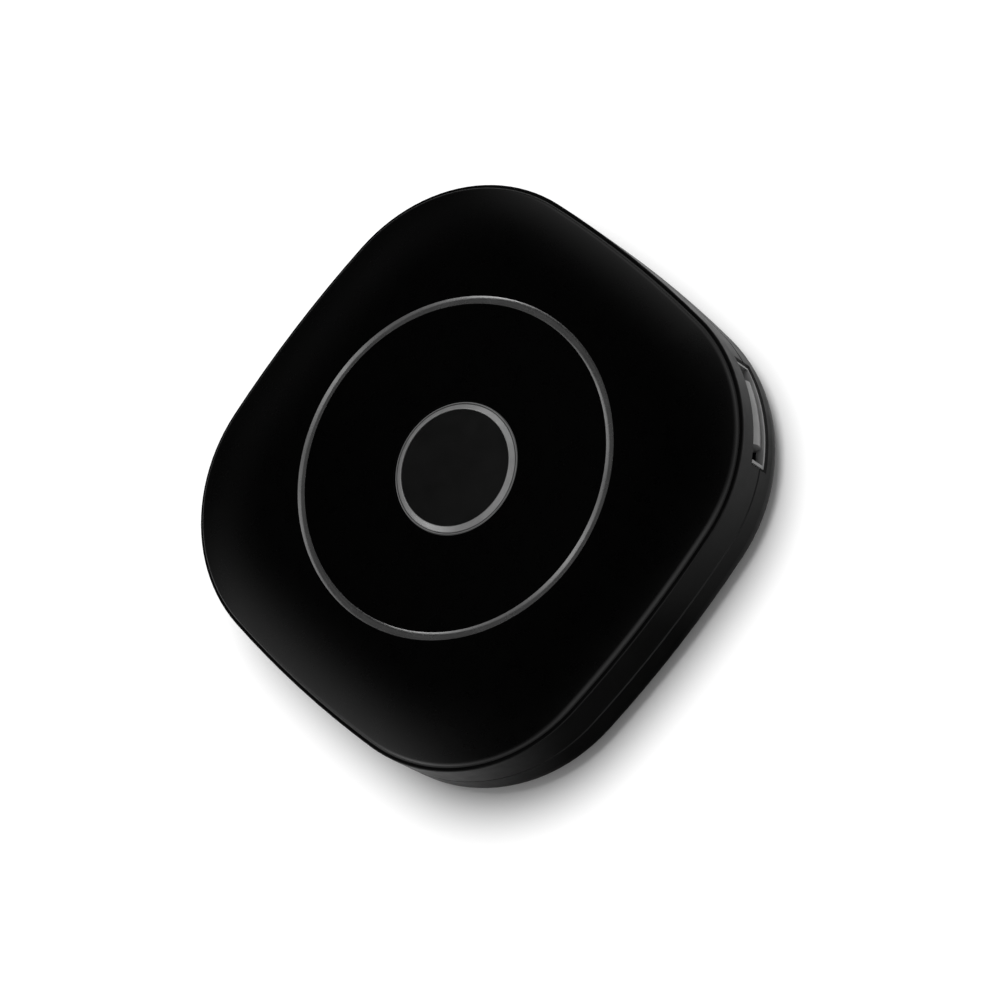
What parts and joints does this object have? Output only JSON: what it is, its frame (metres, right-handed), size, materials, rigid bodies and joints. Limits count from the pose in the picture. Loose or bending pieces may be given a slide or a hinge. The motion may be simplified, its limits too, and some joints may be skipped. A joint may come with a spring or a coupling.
{
  "type": "bluetooth tracker tag",
  "caption": "Black rounded-square tracker tag with a domed face, a ringed push button and a lanyard bar in one corner; it opens for the coin cell",
  "frame": {"origin": "middle of the flat back face", "axes": "+Z out of the face through the button, +X and +Y square to the sides with the lanyard corner between them"},
  "size_m": [0.038, 0.038, 0.0085],
  "materials": {
    "shell_black": "fine satin moulded",
    "face_black": "smooth satin",
    "button_black": "smooth satin, dished",
    "trim_grey": "satin plated grey",
    "seal_rubber": "matte silicone",
    "bar_steel": "polished stamped",
    "foam_black": "open-cell foam",
    "mesh_black": "woven",
    "board_green": "solder mask",
    "screw_steel": "zinc plated",
    "chip_black": "moulded epoxy",
    "shield_tin": "stamped, tin plated",
    "crystal_can": "lapped metal lid",
    "ceramic_white": "fired ceramic",
    "passive_tan": "fired ceramic with tinned ends",
    "contact_gold": "gold flashed spring bronze",
    "plunger_black": "moulded",
    "diaphragm_steel": "rolled sheet",
    "magnet_grey": "sintered",
    "coil_copper": "enamelled wire",
    "cell_steel": "nickel plated",
    "gasket_nylon": "natural nylon",
    "cathode_black": "pressed powder",
    "anode_grey": "soft rolled metal"
  },
  "bodies": {
    "back_half": {"back_cover": "shell_black", "perimeter_seal": "seal_rubber", "lanyard_bar": "bar_steel", "battery_foam_pad": "foam_black", "acoustic_mesh": "mesh_black", "buzzer_gasket": "foam_black"},
    "front_half": {"mid_frame": "shell_black", "front_cover": "face_black", "accent_ring": "trim_grey", "circuit_board": "board_green", "board_screws": "screw_steel", "radio_chip": "chip_black", "shield_can": "shield_tin", "main_crystal": "crystal_can", "clock_crystal": "crystal_can", "chip_antenna": "ceramic_white", "passives": "passive_tan", "switch_base": "chip_black", "switch_cover": "shield_tin", "switch_terminals": "contact_gold", "switch_dome": "contact_gold", "negative_contact": "contact_gold", "positive_contacts": "contact_gold", "buzzer_housing": "chip_black", "buzzer_diaphragm": "diaphragm_steel", "buzzer_magnet": "magnet_grey", "buzzer_coil": "coil_copper", "buzzer_pole": "magnet_grey"},
    "coin_cell": {"cell_can": "cell_steel", "cell_gasket": "gasket_nylon", "cell_cap": "cell_steel", "cell_cathode": "cathode_black", "cell_separator": "gasket_nylon", "cell_anode": "anode_grey"},
    "button": {"button_cap": "button_black", "button_trim_ring": "trim_grey"},
    "plunger": {"switch_plunger": "plunger_black"}
  },
  "joints": [
    {"name": "front_lift", "type": "slide", "parent": "back_half", "child": "front_half", "axis": [0, 0, 1], "range_m": [0, 0.016]},
    {"name": "cell_lift", "type": "slide", "parent": "back_half", "child": "coin_cell", "axis": [0, 0, 1], "range_m": [0, 0.008]},
    {"name": "button_press", "type": "slide", "parent": "front_half", "child": "button", "axis": [0, 0, -1], "range_m": [0, 0.0002], "stiffness_N_per_m": 1500, "springref_m": -0.0006},
    {"name": "plunger_press", "type": "slide", "parent": "front_half", "child": "plunger", "axis": [0, 0, -1], "range_m": [0, 0.0002], "deforming": ["switch_dome"]}
  ],
  "couplings": [
    {"joint": "cell_lift", "follows": "front_lift", "ratio": 0.5},
    {"joint": "plunger_press", "follows": "button_press", "ratio": 1}
  ]
}
